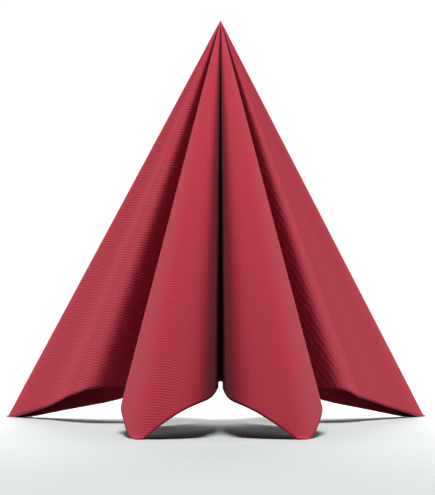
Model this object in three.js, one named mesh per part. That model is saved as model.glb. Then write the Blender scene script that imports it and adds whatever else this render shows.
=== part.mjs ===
// A square napkin set up as a tall pointed cone with four rounded lobes, standing on its four corners.
// The middle of the sheet is the point at the top. From there the cloth falls in straight lines, so
// every line is known by how far it runs sideways and forwards for each millimetre that it drops.
// Four lines end at the corners of the sheet and form the ridges of the lobes. Four others end at the
// middles of its sides, in or beside the valleys. +Z is up and the front looks along -Y.
import * as THREE from "three";
import { mergeVertices } from "three/addons/utils/BufferGeometryUtils.js";

// Driving dimensions, in millimetres and degrees.
const SHEET_SIDE = 400;
const THICKNESS = 1.2;
const RIDGE_TILT = 36.9; // of the four ridges, from the vertical
const FOOT_DEPTH = 3; // how much of each corner's drop is bent flat on the table
const FOOT_BEND = 0.7; // half the height over which the cloth bends into its foot
const CLOSED_TOP = 48; // the layers lie together this far down from the point

// Fineness of the solid: lines between two folds, and rings at these shares of each line's length.
const STEPS_PER_FOLD = 6;
const OUTER_RINGS = [0.08, 0.2, 0.36, 0.52, 0.68, 0.82, 0.91, 0.955, 0.98, 0.988, 0.994, 1];
const INNER_RINGS = [0, 0.2, 0.42, 0.62, 0.8, 0.89, 0.94, 0.967, 0.984, 0.993, 1];

const COLOUR = 0xb03648;
const ROUGHNESS = 0.85;

const MIDDLE = "middle";
const RIDGE = "ridge";
const FLANK = "flank";

// The folds in order round the point, from the front slit by way of the left to the back and the right.
// side and front are the run to +X and to the front for each millimetre of drop. A ridge is turned from
// the front, to the right if positive, at the tilt that all ridges share.
const FOLDS = [
  { at: "front slit", kind: MIDDLE, side: 0, front: -0.005 },
  { at: "front left lobe, slit side", kind: FLANK, side: -0.009, front: 0.178 },
  { at: "front left lobe, slit lip", kind: FLANK, side: -0.006, front: 0.36 },
  { at: "front left lobe, inner shoulder", kind: FLANK, side: -0.044, front: 0.719 },
  { at: "front left lobe, brow", kind: FLANK, side: -0.093, front: 0.754 },
  { at: "front left corner", kind: RIDGE, turn: -12.6 },
  { at: "front left lobe, outer shoulder", kind: FLANK, side: -0.214, front: 0.569 },
  { at: "front left lobe, outer flank", kind: FLANK, side: -0.232, front: 0.42 },
  { at: "front left lobe, back flank", kind: FLANK, side: -0.21, front: 0.299 },
  { at: "middle of the left side", kind: MIDDLE, side: -0.065, front: -0.09 },
  { at: "left valley", kind: FLANK, side: -0.044, front: -0.155 },
  { at: "outer left lobe, inner flank", kind: FLANK, side: -0.327, front: -0.025 },
  { at: "outer left lobe, brow", kind: FLANK, side: -0.405, front: -0.128 },
  { at: "outer left lobe, front flank", kind: FLANK, side: -0.467, front: -0.27 },
  { at: "outer left corner", kind: RIDGE, turn: -129.3 },
  { at: "outer left lobe, back flank", kind: FLANK, side: -0.285, front: -0.31 },
  { at: "back left fold", kind: FLANK, side: -0.128, front: -0.5 },
  { at: "back valley", kind: MIDDLE, side: 0, front: -0.235 },
  { at: "back right fold", kind: FLANK, side: 0.132, front: -0.535 },
  { at: "outer right lobe, back flank", kind: FLANK, side: 0.285, front: -0.345 },
  { at: "outer right corner", kind: RIDGE, turn: 131.9 },
  { at: "outer right lobe, front flank", kind: FLANK, side: 0.453, front: -0.3 },
  { at: "outer right lobe, brow", kind: FLANK, side: 0.385, front: -0.178 },
  { at: "outer right lobe, inner flank", kind: FLANK, side: 0.314, front: -0.055 },
  { at: "right valley", kind: FLANK, side: 0.044, front: -0.175 },
  { at: "middle of the right side", kind: MIDDLE, side: 0.066, front: -0.098 },
  { at: "front right lobe, back flank", kind: FLANK, side: 0.207, front: 0.3 },
  { at: "front right lobe, outer flank", kind: FLANK, side: 0.235, front: 0.432 },
  { at: "front right lobe, outer shoulder", kind: FLANK, side: 0.217, front: 0.587 },
  { at: "front right corner", kind: RIDGE, turn: 12.6 },
  { at: "front right lobe, brow", kind: FLANK, side: 0.082, front: 0.742 },
  { at: "front right lobe, inner shoulder", kind: FLANK, side: 0.038, front: 0.703 },
  { at: "front right lobe, slit lip", kind: FLANK, side: 0.006, front: 0.397 },
  { at: "front right lobe, slit side", kind: FLANK, side: 0.009, front: 0.196 },
];

const EIGHTH_TURN = Math.PI / 4; // of cloth between the middle of a side and the next ridge
const toRadians = THREE.MathUtils.degToRad;
const ridgeTilt = toRadians(RIDGE_TILT);
const cornerReach = SHEET_SIDE / Math.SQRT2;
const pointHeight = cornerReach * Math.cos(ridgeTilt) - FOOT_DEPTH;

// The run of a fold in plan, for one millimetre of drop.
function planOf(fold) {
  if (fold.kind !== RIDGE) return new THREE.Vector3(fold.side, -fold.front, 0);
  const run = Math.tan(ridgeTilt);
  const turn = toRadians(fold.turn);
  return new THREE.Vector3(run * Math.sin(turn), -run * Math.cos(turn), 0);
}

// How far from one fold to the next a line lies. The lines crowd towards the ridges, where the lobes turn.
function shareBetween(fold, next, step) {
  const even = step / STEPS_PER_FOLD;
  if (next.kind === RIDGE) return 1 - (1 - even) ** 2;
  return fold.kind === RIDGE ? even ** 2 : even;
}

// Unit directions of the falling lines: one smooth closed curve through the folds.
function fallingLines() {
  const curve = new THREE.CatmullRomCurve3(FOLDS.map(planOf), true, "centripetal");
  return FOLDS.flatMap((fold, i) => {
    const next = FOLDS[(i + 1) % FOLDS.length];
    return Array.from({ length: STEPS_PER_FOLD }, (_, step) => {
      const plan = curve.getPoint((i + shareBetween(fold, next, step)) / FOLDS.length);
      return new THREE.Vector3(plan.x, plan.y, -1).normalize();
    });
  });
}

// The length of cloth along each line. The cloth's own angle grows evenly with the angle between the
// lines, through an eighth of a turn from a side's middle to a ridge, and the sheet's edge is straight.
function lineLengths(lines) {
  const lengths = new Array(lines.length);
  const marks = FOLDS.flatMap((fold, i) => (fold.kind === FLANK ? [] : [i]));
  marks.forEach((from, k) => {
    const to = k + 1 < marks.length ? marks[k + 1] : FOLDS.length;
    const first = from * STEPS_PER_FOLD;
    const last = to * STEPS_PER_FOLD;
    const angles = [0];
    for (let i = first; i < last; i++) {
      const next = lines[(i + 1) % lines.length];
      angles.push(angles.at(-1) + lines[i].angleTo(next));
    }
    for (let i = first; i < last; i++) {
      const share = angles[i - first] / angles.at(-1);
      const fromMiddle = FOLDS[from].kind === MIDDLE ? share : 1 - share;
      lengths[i] = SHEET_SIDE / 2 / Math.cos(EIGHTH_TURN * fromMiddle);
    }
  });
  return lengths;
}

// Unit vectors from the outer face into the lobes, square to the cloth.
function inwardNormals(lines) {
  const count = lines.length;
  return lines.map((line, i) => {
    const along = lines[(i + 1) % count].clone().sub(lines[(i + count - 1) % count]);
    return line.clone().cross(along).normalize();
  });
}

// From the outer face to the inner one, a thickness away square to the cloth. Beside a ridge the way leads
// straight back from the ridge, so the two flanks of a narrow lobe don't cross each other inside it.
function inwardShifts(lines) {
  const normals = inwardNormals(lines);
  const ways = normals.map((normal) => normal.clone());
  FOLDS.forEach((fold, k) => {
    if (fold.kind !== RIDGE) return;
    const ridge = k * STEPS_PER_FOLD;
    for (let i = ridge - STEPS_PER_FOLD + 1; i < ridge + STEPS_PER_FOLD; i++) {
      const nearness = 1 - ((i - ridge) / STEPS_PER_FOLD) ** 2;
      ways[i].lerp(normals[ridge], nearness).normalize();
    }
  });
  return ways.map((way, i) => way.multiplyScalar(THICKNESS / way.dot(normals[i])));
}

// Bends what would reach below a level into a flat foot on it, by way of a soft curve.
function bentToLevel(z, level) {
  const above = z - level;
  if (above >= FOOT_BEND) return z;
  if (above <= -FOOT_BEND) return level;
  return level + (above + FOOT_BEND) ** 2 / (4 * FOOT_BEND);
}

// The outer face as rings round the point, from the top to the cut edge.
function outerRings(point, lines, lengths) {
  return OUTER_RINGS.map((share) =>
    lines.map((line, i) => {
      const place = point.clone().addScaledVector(line, lengths[i] * share);
      place.z = bentToLevel(place.z, THICKNESS);
      return place;
    }),
  );
}

// The inner face, one thickness behind the outer one. Its first ring is level, below the closed top.
function innerRings(point, lines, lengths) {
  const shifts = inwardShifts(lines);
  return INNER_RINGS.map((share) =>
    lines.map((line, i) => {
      const topLength = -(CLOSED_TOP + shifts[i].z) / line.z;
      const length = THREE.MathUtils.lerp(topLength, lengths[i], share);
      const place = point.clone().addScaledVector(line, length).add(shifts[i]);
      place.z = bentToLevel(place.z, 0);
      return place;
    }),
  );
}

// One closed solid: the outer face, the cut edge, the inner face and the ceiling under the closed top.
function napkinGeometry() {
  const lines = fallingLines();
  const lengths = lineLengths(lines);
  const point = new THREE.Vector3(0, 0, pointHeight);
  const outer = outerRings(point, lines, lengths);
  const inner = innerRings(point, lines, lengths);
  const ceiling = inner[0];
  const faces = outer[0].map((place, i, ring) => [point, ring[(i + 1) % ring.length], place]);
  const skin = [...outer, ...inner.reverse()];
  skin.slice(1).forEach((lower, k) => {
    const upper = skin[k];
    lower.forEach((_, i) => {
      const j = (i + 1) % lower.length;
      faces.push([upper[i], lower[j], lower[i]], [upper[i], upper[j], lower[j]]);
    });
  });
  for (const face of THREE.ShapeUtils.triangulateShape(ceiling, [])) {
    faces.push(face.reverse().map((i) => ceiling[i]));
  }

  const geometry = new THREE.BufferGeometry().setFromPoints(faces.flat());
  geometry.computeBoundingBox();
  const middle = geometry.boundingBox.getCenter(new THREE.Vector3());
  geometry.translate(-middle.x, -middle.y, 0);
  return mergeVertices(geometry);
}

const cloth = new THREE.MeshStandardMaterial({ color: COLOUR, roughness: ROUGHNESS, metalness: 0 });
const napkin = new THREE.Mesh(napkinGeometry(), cloth);
napkin.name = "napkin";

const root = new THREE.Group();
root.add(napkin);
export default root;
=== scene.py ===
import math
from collections import namedtuple

import bpy
import numpy as np
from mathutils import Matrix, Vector


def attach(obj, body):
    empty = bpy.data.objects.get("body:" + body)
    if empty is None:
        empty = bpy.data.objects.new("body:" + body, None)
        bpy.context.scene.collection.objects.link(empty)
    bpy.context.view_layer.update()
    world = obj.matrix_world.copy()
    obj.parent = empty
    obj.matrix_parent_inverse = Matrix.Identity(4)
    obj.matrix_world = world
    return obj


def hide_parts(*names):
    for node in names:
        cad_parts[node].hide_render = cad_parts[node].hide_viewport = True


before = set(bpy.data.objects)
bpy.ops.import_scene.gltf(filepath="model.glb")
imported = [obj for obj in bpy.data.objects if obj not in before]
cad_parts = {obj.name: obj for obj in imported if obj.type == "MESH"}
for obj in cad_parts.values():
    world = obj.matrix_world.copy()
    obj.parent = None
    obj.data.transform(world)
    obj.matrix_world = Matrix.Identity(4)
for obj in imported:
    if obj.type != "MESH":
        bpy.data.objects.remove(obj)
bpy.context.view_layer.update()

# Sizes in metres, angles in degrees.
SHEET_SIDE = 0.4
CLOTH_THICKNESS = 0.0006
RIDGE_TILT = 36.9  # of the four corner lines, from the vertical
FOOT_BEND = 0.0007  # half the height over which the cloth bends into its foot
PRESSED_TOP = 0.06  # the layers are pressed thin above this distance from the point

# The mesh: its fineness, how much its rings crowd towards the cut edge, and its maps.
LINES_PER_FOLD = 16
RINGS = 72
RING_CROWDING = 0.55
MAP_MARGIN = 1.04  # the square map against the sheet
EDGE_SPREAD = 1.012  # on the maps, the inner rim of the cut edge against the outer one
EDGE_PATCH = 3  # of the patches of faces, the one that is the cut edge

# The dyed cloth: its colours, the shade painted into the grooves between its ribs, its ribs, and the short
# fibres and soft clouds in it.
DYE_DEEP = (0.29, 0.016, 0.031, 1)
DYE_BRIGHT = (0.34, 0.023, 0.042, 1)
# Painted shade: the colour that the grooves between the ribs are darkened towards.
PAINTED_GROOVE_SHADE = (0.145, 0.005, 0.010, 1)
DYE_FLECK = (0.40, 0.040, 0.06, 1)
RIB_PITCH = 0.0015
RIB_WANDER = RIB_PITCH * 0.9  # how far a rib strays to the side
WANDERS_PER_METRE = 90.0
RIB_CRISPNESS = (0.1, 1.2)  # in the deepest clouds and in the brightest
# How strongly shade is painted into the grooves between the ribs.
GROOVE_DARKNESS = 0.5
FLECK_STRENGTH = 0.2
FIBRE_HEIGHT = 0.4  # against that of a rib
CLOTH_RELIEF = 0.0002
CLOTH_ROUGHNESS = (0.7, 0.9)
SHEEN_TINT = (1.0, 0.55, 0.62, 1)
FIBRE_SIZE = 0.0007
CLOUD_SIZE = 0.014

# The cut edge.
EDGE_DEEP = (0.45, 0.05, 0.08, 1)
EDGE_PALE = (0.62, 0.17, 0.2, 1)
EDGE_FIBRE_SIZE = 0.0004
EDGE_ROUGHNESS = (0.8, 0.95)

# The table, and the white room that it fades into between two shares of its radius.
TABLE_RADIUS = 1.1
TABLE_SIDES = 96
TABLE_FADE = (0.3, 0.85)
TABLE_DEEP = (0.295, 0.307, 0.304, 1)
TABLE_PALE = (0.305, 0.317, 0.314, 1)
TABLE_THROWN_BACK = (0.15, 0.15, 0.15, 1)  # its colour for the light that it throws at the cloth
CLOUDS_PER_METRE = 6.0
ROOM_LIGHT = 0.01
BLACK = (0, 0, 0, 1)
WHITE = (1, 1, 1, 1)

# The camera, straight in front of the napkin's point. Its frame is measured in pixels.
FRAME_HEIGHT = 495
FOCAL_PIXELS = 1611.4
POINT_RIGHT_OF_MIDDLE = 3.0  # in pixels
CAMERA_DISTANCE = 0.885
CAMERA_HEIGHT = 0.0373
CAMERA_TIP = 3.835  # upwards
SENSOR_WIDTH = 36.0  # in millimetres

MIDDLE, RIDGE, FLANK = "middle", "ridge", "flank"

# The folds in order round the point, from the front slit by way of the left to the back and the right.
# side and front are the run to +X and to the front for each unit of drop. A ridge is turned from the front,
# ribs is the angle on the flat cloth from its corner line to the ribs of its lobe, and stretch is how much
# farther apart they lie there.
Fold = namedtuple("Fold", "at kind side front turn ribs stretch", defaults=(0.0, 0.0, 0.0, 0.0, 1.0))
FOLDS = [
    Fold("front slit", MIDDLE, side=0.0, front=-0.005),
    Fold("front left lobe, slit side", FLANK, side=-0.009, front=0.178),
    Fold("front left lobe, slit lip", FLANK, side=-0.006, front=0.36),
    Fold("front left lobe, inner shoulder", FLANK, side=-0.044, front=0.719),
    Fold("front left lobe, brow", FLANK, side=-0.093, front=0.754),
    Fold("front left corner", RIDGE, turn=-12.6, ribs=97),
    Fold("front left lobe, outer shoulder", FLANK, side=-0.214, front=0.569),
    Fold("front left lobe, outer flank", FLANK, side=-0.232, front=0.42),
    Fold("front left lobe, back flank", FLANK, side=-0.21, front=0.299),
    Fold("middle of the left side", MIDDLE, side=-0.065, front=-0.09),
    Fold("left valley", FLANK, side=-0.044, front=-0.155),
    Fold("outer left lobe, inner flank", FLANK, side=-0.327, front=-0.025),
    Fold("outer left lobe, brow", FLANK, side=-0.405, front=-0.128),
    Fold("outer left lobe, front flank", FLANK, side=-0.467, front=-0.27),
    Fold("outer left corner", RIDGE, turn=-129.3, ribs=60),
    Fold("outer left lobe, back flank", FLANK, side=-0.285, front=-0.31),
    Fold("back left fold", FLANK, side=-0.128, front=-0.5),
    Fold("back valley", MIDDLE, side=0.0, front=-0.235),
    Fold("back right fold", FLANK, side=0.132, front=-0.535),
    Fold("outer right lobe, back flank", FLANK, side=0.285, front=-0.345),
    Fold("outer right corner", RIDGE, turn=131.9, ribs=5, stretch=1.9),
    Fold("outer right lobe, front flank", FLANK, side=0.453, front=-0.3),
    Fold("outer right lobe, brow", FLANK, side=0.385, front=-0.178),
    Fold("outer right lobe, inner flank", FLANK, side=0.314, front=-0.055),
    Fold("right valley", FLANK, side=0.044, front=-0.175),
    Fold("middle of the right side", MIDDLE, side=0.066, front=-0.098),
    Fold("front right lobe, back flank", FLANK, side=0.207, front=0.3),
    Fold("front right lobe, outer flank", FLANK, side=0.235, front=0.432),
    Fold("front right lobe, outer shoulder", FLANK, side=0.217, front=0.587),
    Fold("front right corner", RIDGE, turn=12.6, ribs=-2),
    Fold("front right lobe, brow", FLANK, side=0.082, front=0.742),
    Fold("front right lobe, inner shoulder", FLANK, side=0.038, front=0.703),
    Fold("front right lobe, slit lip", FLANK, side=0.006, front=0.397),
    Fold("front right lobe, slit side", FLANK, side=0.009, front=0.196),
]
EIGHTH_TURN = math.pi / 4  # of cloth between the middle of a side and the next ridge


def unit(rows):
    return rows / np.linalg.norm(rows, axis=1)[:, None]


def plan_of(fold):
    """The run of a fold in plan for one unit of drop, the front being -Y."""
    if fold.kind != RIDGE:
        return (fold.side, -fold.front)
    run = math.tan(math.radians(RIDGE_TILT))
    turn = math.radians(fold.turn)
    return (run * math.sin(turn), -run * math.cos(turn))


def point_between(plans, i, share):
    """A point on the smooth closed curve through the folds, between fold i and the next."""
    before, here, there, after = (plans[(i + k) % len(plans)] for k in (-1, 0, 1, 2))
    pairs = ((before, here), (here, there), (there, after))
    span0, span1, span2 = (math.sqrt(np.linalg.norm(b - a)) for a, b in pairs)
    leave = (here - before) / span0 - (there - before) / (span0 + span1) + (there - here) / span1
    reach = (there - here) / span1 - (after - here) / (span1 + span2) + (after - there) / span2
    leave, reach = leave * span1, reach * span1
    bend = 3 * (there - here) - 2 * leave - reach
    twist = 2 * (here - there) + leave + reach
    return here + share * (leave + share * (bend + share * twist))


def share_between(fold, following, step):
    """The lines crowd towards the ridges, where the lobes turn."""
    even = step / LINES_PER_FOLD
    if following.kind == RIDGE:
        return 1 - (1 - even) ** 2
    return even**2 if fold.kind == RIDGE else even


def falling_lines():
    """Unit directions of the lines from the point to the cut edge."""
    plans = np.array([plan_of(fold) for fold in FOLDS])
    runs = []
    for i, fold in enumerate(FOLDS):
        following = FOLDS[(i + 1) % len(FOLDS)]
        for step in range(LINES_PER_FOLD):
            runs.append(point_between(plans, i, share_between(fold, following, step)))
    return unit(np.column_stack([np.array(runs), -np.ones(len(runs))]))


def cloth_angles(lines):
    """For each line its angle on the flat cloth from the front slit, in radians, and last a whole turn. It
    grows evenly with the angle between the lines, by an eighth of a turn from a side's middle to a ridge."""
    steps = np.arccos(np.clip((lines * np.roll(lines, -1, axis=0)).sum(axis=1), -1, 1))
    marks = [i for i, fold in enumerate(FOLDS) if fold.kind != FLANK]
    angles = np.zeros(len(lines) + 1)
    for eighth, (start, end) in enumerate(zip(marks, marks[1:] + [len(FOLDS)])):
        first, last = start * LINES_PER_FOLD, end * LINES_PER_FOLD
        run = np.cumsum(steps[first:last])
        angles[first + 1 : last + 1] = (eighth + run / run[-1]) * EIGHTH_TURN
    return angles


def inward_shifts(lines):
    """Vectors from the outer face to the inner one for a unit thickness, straight back beside a ridge."""
    along = np.roll(lines, -1, axis=0) - np.roll(lines, 1, axis=0)
    normals = unit(np.cross(lines, along))
    ways = normals.copy()
    for k, fold in enumerate(FOLDS):
        if fold.kind != RIDGE:
            continue
        ridge = k * LINES_PER_FOLD
        for i in range(ridge - LINES_PER_FOLD + 1, ridge + LINES_PER_FOLD):
            nearness = 1 - ((i - ridge) / LINES_PER_FOLD) ** 2
            ways[i] = normals[i] * (1 - nearness) + normals[ridge] * nearness
    ways = unit(ways)
    return ways / (ways * normals).sum(axis=1)[:, None]


def bent_to_level(heights, level):
    """Bends what would reach below a level into a flat foot on it."""
    above = heights - level
    soft = level + (above + FOOT_BEND) ** 2 / (4 * FOOT_BEND)
    return np.where(above >= FOOT_BEND, heights, np.where(above <= -FOOT_BEND, level, soft))


def both_faces(point, lines, reach):
    """Places of the outer and of the inner face, ring by ring round the point."""
    outer = point + lines[None] * reach[..., None]
    thickness = CLOTH_THICKNESS * np.clip(reach / PRESSED_TOP, 0, 1)
    inner = outer + inward_shifts(lines)[None] * thickness[..., None]
    outer[..., 2] = bent_to_level(outer[..., 2], CLOTH_THICKNESS)
    inner[..., 2] = bent_to_level(inner[..., 2], 0.0)
    return outer, inner


def between(upper, lower):
    """Quads between two rows of numbers that run round the point."""
    return np.stack([upper, np.roll(upper, -1, axis=-1), np.roll(lower, -1, axis=-1), lower], axis=-1)


def sheet_faces(count):
    """Faces of the closed sheet as rows of vertex numbers: the top outside and inside, the outer face, the
    cut edge and the inner face. The two points come first, then the outer rings and the inner rings."""
    outer = 2 + np.arange(RINGS * count).reshape(RINGS, count)
    inner = outer + RINGS * count
    top = np.stack([np.zeros(count, int), np.roll(outer[0], -1), outer[0]], axis=-1)
    top_inside = np.stack([np.ones(count, int), inner[0], np.roll(inner[0], -1)], axis=-1)
    skin = between(outer[:-1], outer[1:]).reshape(-1, 4)
    edge = between(outer[-1], inner[-1])
    lining = between(inner[1:], inner[:-1]).reshape(-1, 4)
    return top, top_inside, skin, edge, lining


def ribs_by_column():
    """For each column of faces the cloth angle of its lobe's ribs, and how far apart they are stretched.
    A lobe runs from the middle of one side to the middle of the next."""
    ridges = [fold for fold in FOLDS if fold.kind == RIDGE]
    lobe = -1
    turns = []
    stretches = []
    for fold in FOLDS:
        lobe += fold.kind == MIDDLE
        corner = (2 * lobe + 1) * EIGHTH_TURN
        turns += [corner + math.radians(ridges[lobe].ribs)] * LINES_PER_FOLD
        stretches += [ridges[lobe].stretch] * LINES_PER_FOLD
    return np.array(turns), np.array(stretches)


def flat_places(angles, reach):
    """Places on the flat cloth of the corners of each column of faces: its first and its second line."""
    first = np.stack([reach * np.cos(angles[:-1]), reach * np.sin(angles[:-1])], axis=-1)
    second_reach = np.roll(reach, -1, axis=1)
    second = np.stack([second_reach * np.cos(angles[1:]), second_reach * np.sin(angles[1:])], axis=-1)
    return first, second


def corner_rows(first, second):
    """The values of two lines at the corners of all faces, in the order of sheet_faces."""
    count = first.shape[1]
    centre = np.zeros((count, 2))
    top = np.stack([centre, second[0], first[0]], axis=1)
    top_inside = np.stack([centre, first[0], second[0]], axis=1)
    outer = np.stack([first[:-1], second[:-1], second[1:], first[1:]], axis=2)
    edge = np.stack([first[-1], second[-1], second[-1] * EDGE_SPREAD, first[-1] * EDGE_SPREAD], axis=1)
    inner = np.stack([first[1:], second[1:], second[:-1], first[:-1]], axis=2)
    return [rows.reshape(-1, 2) for rows in (top, top_inside, outer, edge, inner)]


def rib_places(places, turns, stretches):
    """Flat places as distances across and along the ribs of their column's lobe."""
    x, y = places[..., 0], places[..., 1]
    across = (y * np.cos(turns) - x * np.sin(turns)) / stretches
    along = x * np.cos(turns) + y * np.sin(turns)
    return np.stack([across, along], axis=-1)


def add_map(mesh, name, rows):
    layer = mesh.uv_layers.new(name=name)
    layer.data.foreach_set("uv", np.concatenate(rows).astype(np.float32).ravel())


def make_sheet(point):
    """The folded sheet as one closed thin mesh. One UV map measures across and along the ribs in metres, and
    the other spreads the whole flat sheet over a square."""
    lines = falling_lines()
    angles = cloth_angles(lines)
    lengths = SHEET_SIDE / 2 / np.maximum(abs(np.cos(angles)), abs(np.sin(angles)))[:-1]
    even = np.linspace(0, 1, RINGS + 1)[1:]
    shares = (1 - RING_CROWDING) * even + RING_CROWDING * np.sin(even * math.pi / 2)
    reach = lengths[None, :] * shares[:, None]

    outer, inner = both_faces(point, lines, reach)
    under_point = point - np.array([0, 0, CLOTH_THICKNESS])
    places = np.concatenate([[point, under_point], outer.reshape(-1, 3), inner.reshape(-1, 3)])
    patches = sheet_faces(len(lines))
    mesh = bpy.data.meshes.new("napkin_sheet")
    mesh.from_pydata(places.tolist(), [], [face for rows in patches for face in rows.tolist()])

    first, second = flat_places(angles, reach)
    ribs = ribs_by_column()
    add_map(mesh, "cloth", corner_rows(rib_places(first, *ribs), rib_places(second, *ribs)))
    square = [0.5 + rows / (SHEET_SIDE * MAP_MARGIN) for rows in corner_rows(first, second)]
    add_map(mesh, "OFBake", square)

    is_edge = np.concatenate([np.full(len(rows), k == EDGE_PATCH) for k, rows in enumerate(patches)])
    mesh.polygons.foreach_set("use_smooth", ~is_edge)
    mesh.polygons.foreach_set("material_index", is_edge.astype(np.int32))
    mesh.update()
    sheet = bpy.data.objects.new("napkin_sheet", mesh)
    bpy.context.scene.collection.objects.link(sheet)
    return sheet


def join(tree, value, socket):
    """Links another node's output to a socket, or sets the socket to a value."""
    if isinstance(value, bpy.types.NodeSocket):
        tree.links.new(value, socket)
    else:
        socket.default_value = value


def add(tree, kind, settings=None, **inputs):
    """Adds a node with its settings, and joins or sets its inputs. A _ in an input's name is a blank."""
    node = tree.nodes.new(kind)
    for name, value in (settings or {}).items():
        setattr(node, name, value)
    for name, value in inputs.items():
        join(tree, value, node.inputs[name.replace("_", " ")])
    return node


def calc(tree, operation, *values):
    node = add(tree, "ShaderNodeMath", {"operation": operation})
    for socket, value in zip(node.inputs, values):
        join(tree, value, socket)
    return node.outputs["Value"]


def ranged(tree, mask, low, high):
    """A mask from 0 to 1 as a value from low to high."""
    return calc(tree, "MULTIPLY_ADD", mask, high - low, low)


def mixed(tree, share, first, second):
    """A mix of two colours."""
    node = add(tree, "ShaderNodeMix", {"data_type": "RGBA"})
    sockets = [socket for socket in node.inputs if socket.enabled]
    for socket, value in zip(sockets, (share, first, second)):
        join(tree, value, socket)
    return next(socket for socket in node.outputs if socket.enabled)


def noise(tree, place, scale, detail=1.0, roughness=0.5):
    flat = {"noise_dimensions": "2D"}
    return add(
        tree, "ShaderNodeTexNoise", flat, Vector=place, Scale=scale, Detail=detail, Roughness=roughness
    ).outputs["Fac"]


def new_material(name):
    """A new material's node tree and its main shader."""
    material = bpy.data.materials.new(name)
    material.use_nodes = True
    return material, material.node_tree, material.node_tree.nodes["Principled BSDF"]


def pressed_fibres():
    """Short fibres and soft clouds in the sheet, for its faces and for its cut edge."""
    group = bpy.data.node_groups.new("pressed fibres", "ShaderNodeTree")
    for name, size in (("Fibre Size", FIBRE_SIZE), ("Cloud Size", CLOUD_SIZE)):
        socket = group.interface.new_socket(name, in_out="INPUT", socket_type="NodeSocketFloat")
        socket.default_value = size
    for name in ("Fibre", "Cloud"):
        group.interface.new_socket(name, in_out="OUTPUT", socket_type="NodeSocketFloat")
    sizes = group.nodes.new("NodeGroupInput")
    masks = group.nodes.new("NodeGroupOutput")
    place = add(group, "ShaderNodeUVMap", {"uv_map": "cloth"}).outputs["UV"]
    for name, detail in (("Fibre", 2.0), ("Cloud", 3.0)):
        scale = calc(group, "DIVIDE", 1.0, sizes.outputs[name + " Size"])
        mask = noise(group, place, scale, detail, roughness=0.6)
        group.links.new(mask, masks.inputs[name])
    return group


def ribbed_cloth(fibres):
    """Dyed red cloth with fine raised ribs that wander a little, with shade painted darker into the grooves
    between them.
    """
    material, tree, shader = new_material("ribbed red cloth")
    grain = add(tree, "ShaderNodeGroup", {"node_tree": fibres})
    fibre, cloud = grain.outputs["Fibre"], grain.outputs["Cloud"]

    place = add(tree, "ShaderNodeUVMap", {"uv_map": "cloth"}).outputs["UV"]
    across = add(tree, "ShaderNodeSeparateXYZ", Vector=place).outputs["X"]
    wander = calc(tree, "MULTIPLY_ADD", noise(tree, place, WANDERS_PER_METRE), RIB_WANDER, across)
    wave = calc(tree, "SINE", calc(tree, "MULTIPLY", wander, 2 * math.pi / RIB_PITCH))
    rib = calc(tree, "MULTIPLY_ADD", wave, 0.5, 0.5)
    crispness = ranged(tree, cloud, *RIB_CRISPNESS)
    groove = calc(tree, "MULTIPLY", calc(tree, "SUBTRACT", 1.0, rib), crispness)

    dyed = mixed(tree, cloud, DYE_DEEP, DYE_BRIGHT)
    # Painted shade: the grooves between the ribs are darkened towards the groove colour.
    ribbed = mixed(tree, calc(tree, "MULTIPLY", groove, GROOVE_DARKNESS), dyed, PAINTED_GROOVE_SHADE)
    flecked = mixed(tree, calc(tree, "MULTIPLY", fibre, FLECK_STRENGTH), ribbed, DYE_FLECK)
    height = calc(tree, "MULTIPLY_ADD", fibre, FIBRE_HEIGHT, calc(tree, "SUBTRACT", 1.0, groove))
    bump = add(tree, "ShaderNodeBump", Strength=0.6, Distance=CLOTH_RELIEF, Height=height)
    join(tree, flecked, shader.inputs["Base Color"])
    join(tree, ranged(tree, fibre, *CLOTH_ROUGHNESS), shader.inputs["Roughness"])
    join(tree, bump.outputs["Normal"], shader.inputs["Normal"])
    shader.inputs["Specular IOR Level"].default_value = 0.08
    shader.inputs["Sheen Weight"].default_value = 0.03
    shader.inputs["Sheen Roughness"].default_value = 0.4
    shader.inputs["Sheen Tint"].default_value = SHEEN_TINT
    return material


def cut_edge(fibres):
    """The edge where the sheet was cut: a little paler, with loose fibres."""
    material, tree, shader = new_material("cut cloth edge")
    fibre = add(tree, "ShaderNodeGroup", {"node_tree": fibres}, Fibre_Size=EDGE_FIBRE_SIZE).outputs["Fibre"]
    bump = add(tree, "ShaderNodeBump", Strength=0.5, Distance=CLOTH_RELIEF, Height=fibre)
    join(tree, mixed(tree, fibre, EDGE_DEEP, EDGE_PALE), shader.inputs["Base Color"])
    join(tree, ranged(tree, fibre, *EDGE_ROUGHNESS), shader.inputs["Roughness"])
    join(tree, bump.outputs["Normal"], shader.inputs["Normal"])
    shader.inputs["Specular IOR Level"].default_value = 0.2
    return material


def table_finish():
    """A pale matt table that fades into the white of the room all round. Only the camera sees its full
    brightness, so that it doesn't light up the valleys from below."""
    material, tree, shader = new_material("pale table")
    place = add(tree, "ShaderNodeTexCoord").outputs["Object"]
    distance = add(tree, "ShaderNodeVectorMath", {"operation": "LENGTH"}, Vector=place).outputs["Value"]
    fade = add(tree, "ShaderNodeMapRange", {"interpolation_type": "SMOOTHSTEP"}, Value=distance)
    for name, share in zip(("From Min", "From Max"), TABLE_FADE):
        fade.inputs[name].default_value = TABLE_RADIUS * share
    faded = fade.outputs["Result"]
    seen = add(tree, "ShaderNodeLightPath").outputs["Is Camera Ray"]
    cloud = add(tree, "ShaderNodeTexNoise", Vector=place, Scale=CLOUDS_PER_METRE, Detail=2.0).outputs["Fac"]
    clouded = mixed(tree, cloud, TABLE_DEEP, TABLE_PALE)
    pale = mixed(tree, seen, TABLE_THROWN_BACK, clouded)
    join(tree, mixed(tree, faded, pale, BLACK), shader.inputs["Base Color"])
    join(tree, mixed(tree, faded, BLACK, WHITE), shader.inputs["Emission Color"])
    join(tree, seen, shader.inputs["Emission Strength"])
    shader.inputs["Roughness"].default_value = 0.6
    shader.inputs["Specular IOR Level"].default_value = 0.0
    return material


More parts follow.
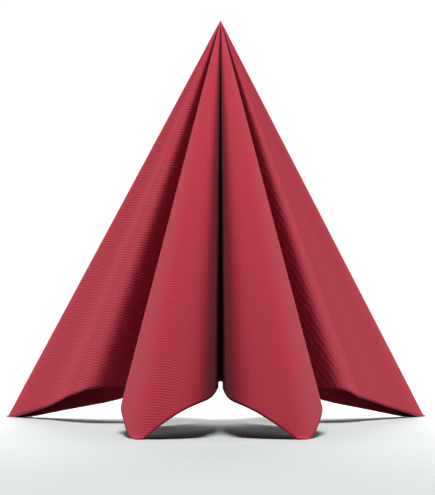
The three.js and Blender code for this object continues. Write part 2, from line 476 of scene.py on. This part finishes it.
def make_table():
    mesh = bpy.data.meshes.new("table")
    turns = [2 * math.pi * k / TABLE_SIDES for k in range(TABLE_SIDES)]
    rim = [(TABLE_RADIUS * math.cos(turn), TABLE_RADIUS * math.sin(turn), 0) for turn in turns]
    mesh.from_pydata(rim, [], [tuple(range(TABLE_SIDES))])
    mesh.materials.append(table_finish())
    table = bpy.data.objects.new("table", mesh)
    bpy.context.scene.collection.objects.link(table)
    return table


def soft_box(name, place, aim, size, power):
    """A large soft light, aimed at a point."""
    light = bpy.data.lights.new(name, "AREA")
    light.shape = "RECTANGLE"
    light.size, light.size_y = size
    light.energy = power
    lamp = bpy.data.objects.new(name, light)
    lamp.location = place
    lamp.rotation_mode = "QUATERNION"
    lamp.rotation_quaternion = (Vector(aim) - Vector(place)).to_track_quat("-Z", "Y")
    bpy.context.scene.collection.objects.link(lamp)
    return lamp


def light_only(lamp, thing):
    """Lets a lamp light one thing alone. All others still cast their shadows on it."""
    lit = bpy.data.collections.new(lamp.name + " lights")
    lit.objects.link(thing)
    lamp.light_linking.receiver_collection = lit


def white_room():
    """White all round, seen as pure white but throwing little light on the cloth."""
    world = bpy.data.worlds.new("white room")
    bpy.context.scene.world = world
    world.use_nodes = True
    tree = world.node_tree
    background = tree.nodes["Background"]
    background.inputs["Color"].default_value = WHITE
    seen = add(tree, "ShaderNodeLightPath").outputs["Is Camera Ray"]
    join(tree, ranged(tree, seen, ROOM_LIGHT, 1.0), background.inputs["Strength"])


def set_camera(point):
    """The photograph's view: a long lens low in front, tipped up a little."""
    data = bpy.data.cameras.new("camera")
    data.sensor_width = SENSOR_WIDTH
    data.lens = SENSOR_WIDTH * FOCAL_PIXELS / FRAME_HEIGHT
    data.shift_x = -POINT_RIGHT_OF_MIDDLE / FRAME_HEIGHT
    camera = bpy.data.objects.new("camera", data)
    camera.location = (point[0], point[1] - CAMERA_DISTANCE, CAMERA_HEIGHT)
    camera.rotation_euler = (math.radians(90 + CAMERA_TIP), 0, 0)
    bpy.context.scene.collection.objects.link(camera)
    bpy.context.scene.camera = camera


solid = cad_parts["napkin"].data
point = np.array(max((vertex.co for vertex in solid.vertices), key=lambda place: place.z))

sheet = make_sheet(point)
fibres = pressed_fibres()
sheet.data.materials.append(ribbed_cloth(fibres))
sheet.data.materials.append(cut_edge(fibres))
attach(sheet, "root")
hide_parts("napkin")

table = make_table()
for name, side in (("left box", -0.8), ("right box", 0.8)):
    soft_box(name, place=(side, 0.25, 0.22), aim=(0, 0, 0.08), size=(0.7, 0.5), power=6.8)
soft_box("top box", place=(0, -0.05, 1.4), aim=(0, 0, 0.1), size=(0.6, 0.5), power=42)
back_box = soft_box("back box", place=(0, 1.8, 0.75), aim=(0, 0, 0), size=(0.7, 0.45), power=140)
light_only(back_box, table)
white_room()
set_camera(point)
bpy.context.scene.view_settings.view_transform = "Standard"
